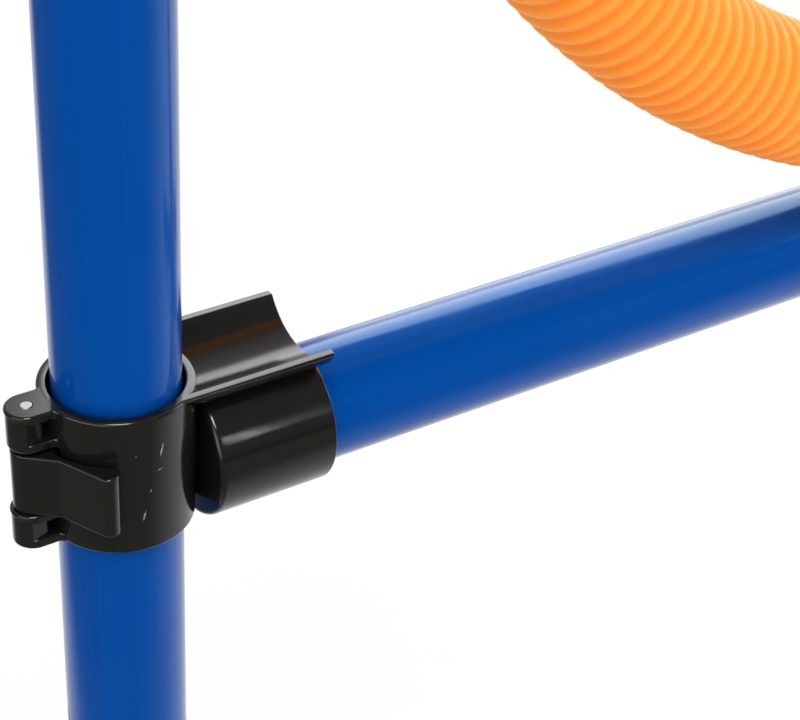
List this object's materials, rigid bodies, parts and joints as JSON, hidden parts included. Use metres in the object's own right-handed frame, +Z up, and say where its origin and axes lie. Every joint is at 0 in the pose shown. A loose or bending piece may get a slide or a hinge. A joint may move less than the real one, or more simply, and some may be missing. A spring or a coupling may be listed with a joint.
{
  "type": "agility tire jump",
  "caption": "Dog agility jump with a ring of ribbed hose strapped between crossbars, which slide up and down on footed uprights and are held by cam-lever clamps.",
  "frame": {"origin": "on the floor, midway between the uprights, in the plane of the uprights", "axes": "+X along the crossbars, +Y towards the back, +Z up"},
  "size_m": [0.6354, 0.4092, 1.15],
  "materials": {
    "blue_tube": "smooth glossy blue",
    "black_moulding": "glossy black moulding",
    "black_fitting": "satin black moulding",
    "orange_hose": "satin orange",
    "pin_steel": "bright",
    "black_strap": "woven hook-and-loop tape"
  },
  "bodies": {
    "stand": {"left_upright": "blue_tube", "right_upright": "blue_tube", "left_upright_cap": "black_fitting", "right_upright_cap": "black_fitting", "left_tee": "black_fitting", "right_tee": "black_fitting", "left_front_foot_tube": "blue_tube", "left_back_foot_tube": "blue_tube", "right_front_foot_tube": "blue_tube", "right_back_foot_tube": "blue_tube", "left_front_foot_cap": "black_fitting", "left_back_foot_cap": "black_fitting", "right_front_foot_cap": "black_fitting", "right_back_foot_cap": "black_fitting"},
    "carriage": {"lower_crossbar": "blue_tube", "upper_crossbar": "blue_tube", "lower_left_clamp": "black_moulding", "lower_right_clamp": "black_moulding", "upper_left_clamp": "black_moulding", "upper_right_clamp": "black_moulding", "lower_left_pin": "pin_steel", "lower_right_pin": "pin_steel", "upper_left_pin": "pin_steel", "upper_right_pin": "pin_steel", "ring_hose": "orange_hose", "ring_coupler": "black_fitting", "lower_strap": "black_strap", "upper_strap": "black_strap"},
    "lower_left_cam": {"lower_left_lever": "black_moulding"},
    "lower_right_cam": {"lower_right_lever": "black_moulding"},
    "upper_left_cam": {"upper_left_lever": "black_moulding"},
    "upper_right_cam": {"upper_right_lever": "black_moulding"}
  },
  "joints": [
    {"name": "height_slide", "type": "slide", "parent": "stand", "child": "carriage", "axis": [0, 0, 1], "range_m": [-0.195, 0.26]},
    {"name": "lower_left_lever_turn", "type": "hinge", "parent": "carriage", "child": "lower_left_cam", "pos_m": [-0.3126, 0, 0.3], "axis": [0, 0, -1], "range_deg": [0, 110]},
    {"name": "lower_right_lever_turn", "type": "hinge", "parent": "carriage", "child": "lower_right_cam", "pos_m": [0.3126, 0, 0.3], "axis": [0, 0, -1], "range_deg": [0, 110]},
    {"name": "upper_left_lever_turn", "type": "hinge", "parent": "carriage", "child": "upper_left_cam", "pos_m": [-0.3126, 0, 0.8548], "axis": [0, 0, -1], "range_deg": [0, 110]},
    {"name": "upper_right_lever_turn", "type": "hinge", "parent": "carriage", "child": "upper_right_cam", "pos_m": [0.3126, 0, 0.8548], "axis": [0, 0, -1], "range_deg": [0, 110]}
  ]
}
